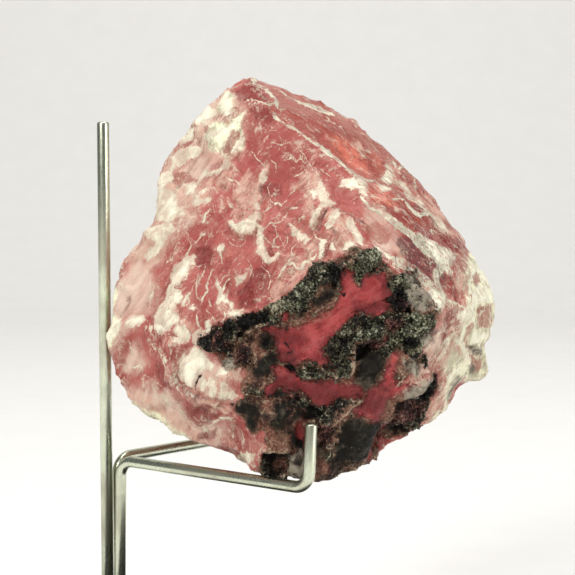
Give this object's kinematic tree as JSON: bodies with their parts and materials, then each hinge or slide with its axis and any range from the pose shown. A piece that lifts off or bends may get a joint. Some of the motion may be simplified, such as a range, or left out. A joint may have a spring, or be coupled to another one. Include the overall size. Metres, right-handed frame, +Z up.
{
  "type": "fluorite specimen on a display stand",
  "caption": "Rough lump of massive pink fluorite in dark matrix, resting on a wire display stand with bent arms, a back post and a round base.",
  "frame": {"origin": "centre of the base's underside", "axes": "+Z up, +X from the post towards the arms, -Y towards the lump's display side"},
  "size_m": [0.12, 0.12, 0.161],
  "materials": {
    "fluorite": "broken, glassy pink stone with pale bruises and dark grainy matrix",
    "rod_steel": "plain drawn wire with a satin shine",
    "base_paint": "satin black paint"
  },
  "bodies": {
    "root": {"fluorite_lump": "fluorite", "back_post": "rod_steel", "front_arm": "rod_steel", "rear_arm": "rod_steel", "round_base": "base_paint"}
  },
  "joints": []
}
